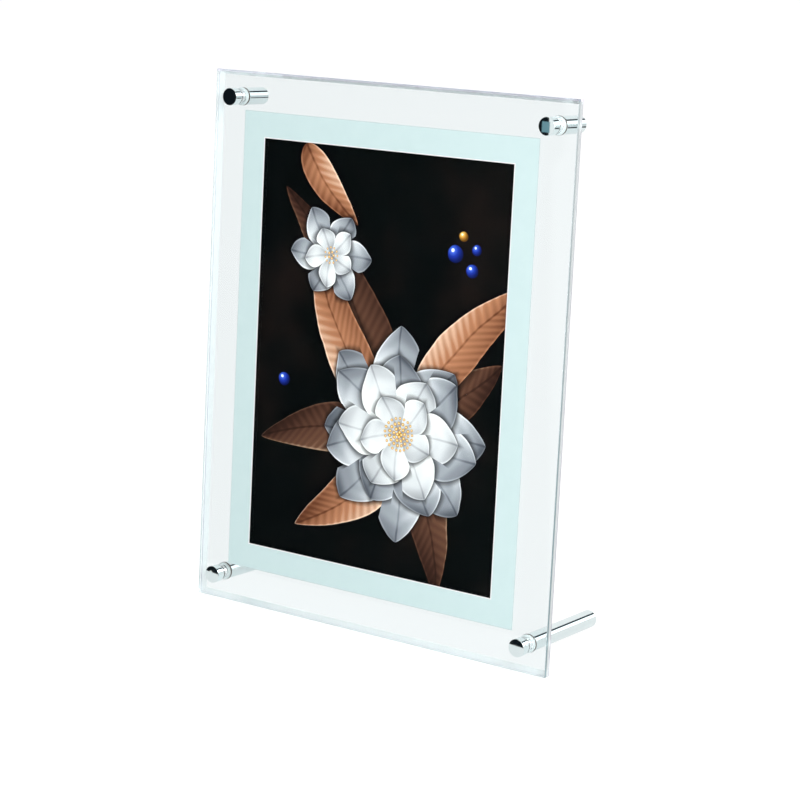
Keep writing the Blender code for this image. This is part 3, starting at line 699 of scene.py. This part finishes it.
def make_sheet(node, chamfer=0, window=None):
    """A polished sheet with its standoff holes. Its narrow faces take the edge finish, with its painted
    reflections and glow.
    """
    low, high = extent(node)
    bm = box_mesh(low, high)
    if chamfer:
        rear = [e for e in bm.edges if all(abs(v.co.y - high.y) < 1e-6 for v in e.verts)]
        bmesh.ops.bevel(bm, geom=rear, offset=chamfer, segments=1, profile=0.5, affect="EDGES")
    cutters = [rod_mesh(p.x, p.z, HOLE_RADIUS, low.y - OVERRUN, high.y + OVERRUN) for p in hole_places()]
    if window:
        front_corner = (window[0].x, low.y - OVERRUN, window[0].z)
        back_corner = (window[1].x, high.y + OVERRUN, window[1].z)
        cutters.append(box_mesh(front_corner, back_corner))
    bm = cut(bm, cutters)
    sharp = [e for e in bm.edges if len(e.link_faces) == 2 and e.calc_face_angle(0) > math.radians(30)]
    bmesh.ops.bevel(
        bm, geom=sharp, offset=POLISHED_EDGE, offset_type="OFFSET", segments=2, profile=0.5,
        affect="EDGES", clamp_overlap=True,
    )
    for face in bm.faces:
        centre = face.calc_center_median()
        from_rim = min(centre.x - low.x, high.x - centre.x, centre.z - low.z, high.z - centre.z)
        at_rim = from_rim < (chamfer or 1 * MM)
        face.material_index = 1 if at_rim and abs(face.normal.y) < 0.95 else 0
    add_piece(node + "_clear", bm, [acrylic, acrylic_edge_painted_light], node, sharp=12)


# Standoffs
def make_cap(corner, axis, body):
    node = corner + "_cap"
    low, high = extent(node, axis)
    radius, base = high.x, low.z
    steps = 10
    face = CAP_CROWN + max(p.z for p in points_of(node, axis) if math.hypot(p.x, p.y) > 0.8 * radius)
    dome = [(radius * i / steps, face - CAP_CROWN * (i / steps) ** 2) for i in range(steps)]
    outline = [dome[-1], (radius, face - CAP_CROWN), (radius, base), (BORE_RADIUS, base)]
    socket = base + CAP_SOCKET
    bm = turned(dome + rounded(outline, CAP_RIM)[1:] + [(BORE_RADIUS, socket), (0, socket)])
    add_piece(node + "_chrome", bm, [chrome], node, body, axis)


def make_ring(name, node, axis, body, material, edge):
    low, high = extent(node, axis)
    outline = [(BORE_RADIUS, high.z), (high.x, high.z), (high.x, low.z), (BORE_RADIUS, low.z)]
    profile = rounded(outline, edge, 4)
    add_piece(name, turned(profile, closed=True), [material], node, body, axis)


def make_bushing(corner, axis):
    node = corner + "_bushing"
    low, high = extent(node, axis)
    flange = low.z + BUSHING_FLANGE
    sleeve = HOLE_RADIUS - SEAT_GAP
    outline = [
        (BORE_RADIUS, high.z), (sleeve, high.z), (sleeve, flange),
        (high.x, flange), (high.x, low.z), (BORE_RADIUS, low.z),
    ]
    bm = turned(rounded(outline, BUSHING_RIM, 3), closed=True)
    add_piece(node + "_white", bm, [nylon], node, matrix=axis)


def make_barrel(node, axis):
    low, high = extent(node, axis)
    radius = high.x
    outline = [(BORE_RADIUS, high.z), (radius, high.z), (radius, low.z), (0, low.z)]
    bottom = high.z - BARREL_BORE
    profile = [(0, bottom), (BORE_RADIUS, bottom)] + rounded(outline, BARREL_RIM)
    add_piece(node + "_chrome", turned(profile), [chrome], node, matrix=axis)


def make_screw(node):
    """A pan-head screw with a cross recess."""
    low, high = extent(node)
    centre = (low + high) / 2
    points = points_of(node)
    head = (high.x - low.x) / 2
    shank = max(math.hypot(p.x - centre.x, p.z - centre.z) for p in points if p.y < low.y + 0.1 * MM)
    under = min(p.y for p in points if math.hypot(p.x - centre.x, p.z - centre.z) > (head + shank) / 2)
    height, length = high.y - under, under - low.y
    matrix = place_of(RIGHT, -UP, -OUTWARD, PANEL @ Vector((centre.x, under, centre.z)))
    dome = [(head * i / 8, height * (1 - 0.3 * (i / 8) ** 2)) for i in range(8)]
    outline = [dome[-1], (head, 0.66 * height), (head, 0), (shank, 0), (shank, -length), (0, -length)]
    bm = turned(dome + rounded(outline, SCREW_RIM, 4)[1:], SCREW_SIDES)
    slot_width, slot_reach, floor = 0.13 * head, 0.6 * head, 0.45 * height
    bm = cut(
        bm,
        [
            box_mesh((-slot_width, -slot_reach, floor), (slot_width, slot_reach, 2 * height)),
            box_mesh((-slot_reach, -slot_width, floor), (slot_reach, slot_width, 2 * height)),
        ],
    )
    add_piece(node + "_pan_head", bm, [steel], node, matrix=matrix)


def make_stud(corner, axis, body):
    """A threaded stud."""
    node = corner + "_stud"
    low, high = extent(node, axis)
    crest, root = high.x, high.x - THREAD_DEPTH
    profile = [(0, high.z)]
    for i in range(int((high.z - low.z) / THREAD_PITCH)):
        top = high.z - i * THREAD_PITCH
        profile += [(root, top), (crest, top - 0.4 * THREAD_PITCH), (crest, top - 0.55 * THREAD_PITCH)]
    profile += [(root, low.z), (0, low.z)]
    add_piece(node + "_threaded", turned(profile, SMALL_SIDES), [steel], node, body, axis)


def make_standoffs():
    for corner in CORNERS:
        axis = axes[corner]
        moving, sliding = corner + "_cap_and_stud", corner + "_washer_slide"
        washer, rubber_ring = corner + "_washer", corner + "_rubber_ring"
        kind = "barrel" if corner.startswith("top") else "leg"
        make_cap(corner, axis, moving)
        make_stud(corner, axis, moving)
        make_ring(washer + "_clear", washer, axis, sliding, clear_nylon, WASHER_RIM)
        make_bushing(corner, axis)
        make_ring(corner + "_rubber_seat", rubber_ring, axis, MAIN_BODY, rubber, RUBBER_RIM)
        make_barrel(f"{corner}_{kind}", axis)


# Stage
def make_stage():
    bpy.ops.mesh.primitive_plane_add(size=FLOOR_SIZE, location=(0, 0, 0))
    floor = bpy.context.object
    floor.name = "floor"
    tree = Tree("white_floor")
    path = tree.nodes.new("ShaderNodeLightPath")
    glossy, through = path.outputs["Is Glossy Ray"], path.outputs["Is Transmission Ray"]
    seen = tree.math("MAXIMUM", tree.math("MAXIMUM", path.outputs["Is Camera Ray"], glossy), through)
    glow = tree.math("MULTIPLY_ADD", through, GLOW_THROUGH, tree.times(seen, FLOOR_GLOW))
    mirrored_only = tree.math("SUBTRACT", glossy, through, clamp=True)
    glow = tree.math("MULTIPLY_ADD", mirrored_only, -GLOW_LOST, glow)
    share = tree.between(seen, 0, 1, FLOOR_BOUNCE, FLOOR_SEEN)
    share = tree.math("MULTIPLY_ADD", through, -SEEN_THROUGH, share)
    paper = tree.between(tree.noise(4, 2), 0.3, 0.7, 0.97, 1.0)
    tone = tree.times(paper, share)
    tree.set(Base_Color=tree.node("CombineColor", tone, tone, tone), Roughness=0.9, Specular_IOR_Level=0.0)
    tree.set(Emission_Color=(1, 1, 1, 1), Emission_Strength=glow)
    floor.data.materials.append(tree.material)


def make_world():
    """White to every ray that is seen, and dimmer as a light."""
    world = bpy.data.worlds.new("studio")
    bpy.context.scene.world = world
    world.use_nodes = True
    nodes, links = world.node_tree.nodes, world.node_tree.links
    background = nodes["Background"]
    background.inputs["Color"].default_value = (1, 1, 1, 1)
    path = nodes.new("ShaderNodeLightPath")
    seen = path.outputs["Is Camera Ray"]
    for name in ("Is Glossy Ray", "Is Transmission Ray"):
        either = nodes.new("ShaderNodeMath")
        either.operation = "MAXIMUM"
        links.new(seen, either.inputs[0])
        links.new(path.outputs[name], either.inputs[1])
        seen = either.outputs[0]
    strength = nodes.new("ShaderNodeMapRange")
    links.new(seen, strength.inputs["Value"])
    strength.inputs["To Min"].default_value = FILL_LIGHT
    strength.inputs["To Max"].default_value = 1.0
    links.new(strength.outputs[0], background.inputs["Strength"])


def add_lamp(name, place, size, power):
    light = bpy.data.lights.new(name, "AREA")
    light.size = size
    light.energy = power
    lamp = bpy.data.objects.new(name, light)
    bpy.context.scene.collection.objects.link(lamp)
    lamp.location = place
    lamp.rotation_euler = (Vector(LAMP_TARGET) - Vector(place)).to_track_quat("-Z", "Y").to_euler()
    return lamp


def add_card(name, corners, colour, strength=1.0):
    """A flat studio card that only reflections see, also those inside the clear sheets."""
    mesh = bpy.data.meshes.new(name)
    mesh.from_pydata([tuple(corner) for corner in corners], [], [range(len(corners))])
    tree = Tree(name + "_paint")
    tree.set(Base_Color=(0, 0, 0, 1), Specular_IOR_Level=0.0)
    tree.set(Emission_Color=(*colour, 1), Emission_Strength=strength)
    path = tree.nodes.new("ShaderNodeLightPath")
    reflected = tree.math("GREATER_THAN", path.outputs["Glossy Depth"], 0.5)
    mixed = tree.node("MixShader", reflected, tree.node("BsdfTransparent"), tree.shader.outputs[0])
    tree.links.new(mixed, tree.output.inputs["Surface"])
    mesh.materials.append(tree.material)
    card = bpy.data.objects.new(name, mesh)
    bpy.context.scene.collection.objects.link(card)
    card.visible_camera = card.visible_diffuse = card.visible_shadow = False


def mirrored(x, z, gap):
    """Where the front face at x, z (in mm) mirrors the camera's view, on a plane this far in front."""
    point = PANEL @ Vector((x * MM, 0, z * MM))
    height = (Vector(CAMERA_PLACE) - point).dot(OUTWARD)
    image = Vector(CAMERA_PLACE) - OUTWARD * 2 * height
    return point + (point - image) * gap / height


def flat(x_low, x_high, y_low, y_high, z):
    return [(x_low, y_low, z), (x_high, y_low, z), (x_high, y_high, z), (x_low, y_high, z)]


# Cards that the caps mirror: distance in front of the face, colour, and outline by what mirrors it
CAP_CARDS = {
    "face_card": (
        0.12, (0.006, 0.009, 0.012),
        (
            (-170, 430), (126, 430), (134, 362), (134, 340), (126, 330), (142, 60), (142, 14),
            (123, 16), (-114, 18), (-123, 25), (-128, 21), (-170, 5),
        ),
    ),
    "pale_card": (0.122, (0.84, 0.83, 0.79), ((-170, 40), (160, 40), (160, -60), (-170, -60))),
    "blue_card": (0.118, (0.17, 0.32, 0.37), ((125, 361), (135, 361), (135, 350.5), (125, 350.5))),
}

# Cards that the barrels and legs mirror, behind the light box: from 1 m to 9 m back
NEAR, FAR = 1.0, 9.0
CEILING = 2.74
WALL = 3.1
GREY_LIFT, DARK_LIFT = 0.002, 0.003


def make_cards():
    for name, (gap, colour, outline) in CAP_CARDS.items():
        add_card(name, [mirrored(x, z, gap) for x, z in outline], colour)
    add_card("ceiling_strip", flat(0.7, 2.3, NEAR, FAR, CEILING), (0.015, 0.03, 0.045))
    sloping = [(2.35, NEAR, CEILING), (WALL, NEAR, 0.5), (WALL, FAR, 0.5), (2.35, FAR, CEILING)]
    add_card("softbox", sloping, (1, 1, 1), 1.7)
    add_card("grey_floor", flat(0.75, WALL, NEAR, FAR, GREY_LIFT), (0.7, 0.73, 0.74))
    dark = ((0.22, 0.7), (0.7, 0.68), (0.7, 1.0), (0.22, 0.86))
    add_card("floor_edge", [(x, y, DARK_LIFT) for x, y in dark], (0.012, 0.02, 0.025))


def make_camera():
    data = bpy.data.cameras.new("camera")
    camera = bpy.data.objects.new("camera", data)
    bpy.context.scene.collection.objects.link(camera)
    data.sensor_width = SENSOR
    data.lens = FOCAL_PIXELS / IMAGE_SIZE * SENSOR
    data.shift_y = (AXIS_ROW - IMAGE_SIZE / 2) / IMAGE_SIZE
    camera.location = CAMERA_PLACE
    camera.rotation_euler = [math.radians(turn) for turn in CAMERA_TURN]
    bpy.context.scene.camera = camera


bpy.context.scene.view_settings.view_transform = "Standard"
make_camera()
make_world()
make_stage()
add_lamp("key", place=(0.95, -1.15, 0.75), size=0.7, power=12.5)
back_lamp = add_lamp("back", place=(1.1, 1.5, 0.9), size=0.9, power=12)
back_lamp.visible_glossy = False
make_cards()

acrylic = clear_material("clear_acrylic", (0.95, 0.974, 0.978), (0.95, 0.98, 0.98))
acrylic_edge_painted_light = edge_material()
clear_nylon = clear_material("translucent_nylon", (0.84, 0.87, 0.87), (0.85, 0.87, 0.87), 1.5, 0.25)
chrome = chrome_material()
steel = steel_material()
nylon = moulded_material("white_nylon", (0.74, 0.75, 0.75), 0.42)
rubber = moulded_material("brown_rubber", (0.075, 0.05, 0.038), 0.62, depth=0.03)
white_plastic = moulded_material("white_plastic", (0.86, 0.86, 0.86), 0.42)
white_sheet = moulded_material("white_sheet", (0.88, 0.88, 0.88), 0.6)
white_paint = moulded_material("white_paint", (0.82, 0.83, 0.83), 0.38, 900, 0.02, 0.012)
board = board_material()
black_plastic = moulded_material("black_plastic", (0.025, 0.025, 0.027), 0.45, 1800, 0.03, 0.2)
red_insulation = moulded_material("red_insulation", (0.5, 0.03, 0.03), 0.45)
black_insulation = moulded_material("black_insulation", (0.025, 0.025, 0.025), 0.45)

film_low, film_high = extent("picture_film")
border_low, border_high = extent("printed_border")
inset_corner = Vector((BORDER_WIDTH, -OVERRUN, BORDER_WIDTH))
inner_low, inner_high = border_low + inset_corner, border_high - inset_corner
inner = ((inner_low.x, inner_low.z), (inner_high.x, inner_high.z))
outer = ((border_low.x, border_low.z), (border_high.x, border_high.z))

border = cut(box_mesh(border_low, border_high), [box_mesh(inner_low, inner_high)])
add_piece("border_print", border, [border_material(inner, outer)], "printed_border")
picture = picture_material((film_low.z + film_high.z) / 2)
add_piece("picture", box_mesh(film_low, film_high), [picture], "picture_film")

window = (extent("rail_bottom")[0] - UNIT_GAP, extent("rail_top")[1] + UNIT_GAP)
make_sheet("front_sheet")
make_sheet("rear_sheet", REAR_BEVEL, window)
make_standoffs()

finishes = {
    "light_guide": acrylic,
    "diffuser_sheet": white_sheet,
    "reflector_sheet": white_sheet,
    "back_cover": white_paint,
    "jack_housing": black_plastic,
    "power_jack": black_plastic,
    "jack_pin": steel,
    "jack_terminal": steel,
    "link_wire_positive": red_insulation,
    "link_wire_negative": black_insulation,
    "jack_wire_positive": red_insulation,
    "jack_wire_negative": black_insulation,
}
finishes.update({name: white_plastic for name in frame["nodes"] if name.startswith("rail_")})
finishes.update({name: board for name in frame["nodes"] if name.startswith("led_strip")})
for name, finish in finishes.items():
    node = frame["nodes"][name]
    node.data.materials.clear()
    node.data.materials.append(finish)
    bevel = node.modifiers.new("rounded edges", "BEVEL")
    bevel.width = COVER_EDGE if name in ("back_cover", "jack_housing") else INNER_EDGE
    bevel.segments = 3
    bevel.limit_method = "ANGLE"
    bevel.harden_normals = False
for name in frame["nodes"]:
    if "_screw_" in name:
        make_screw(name)
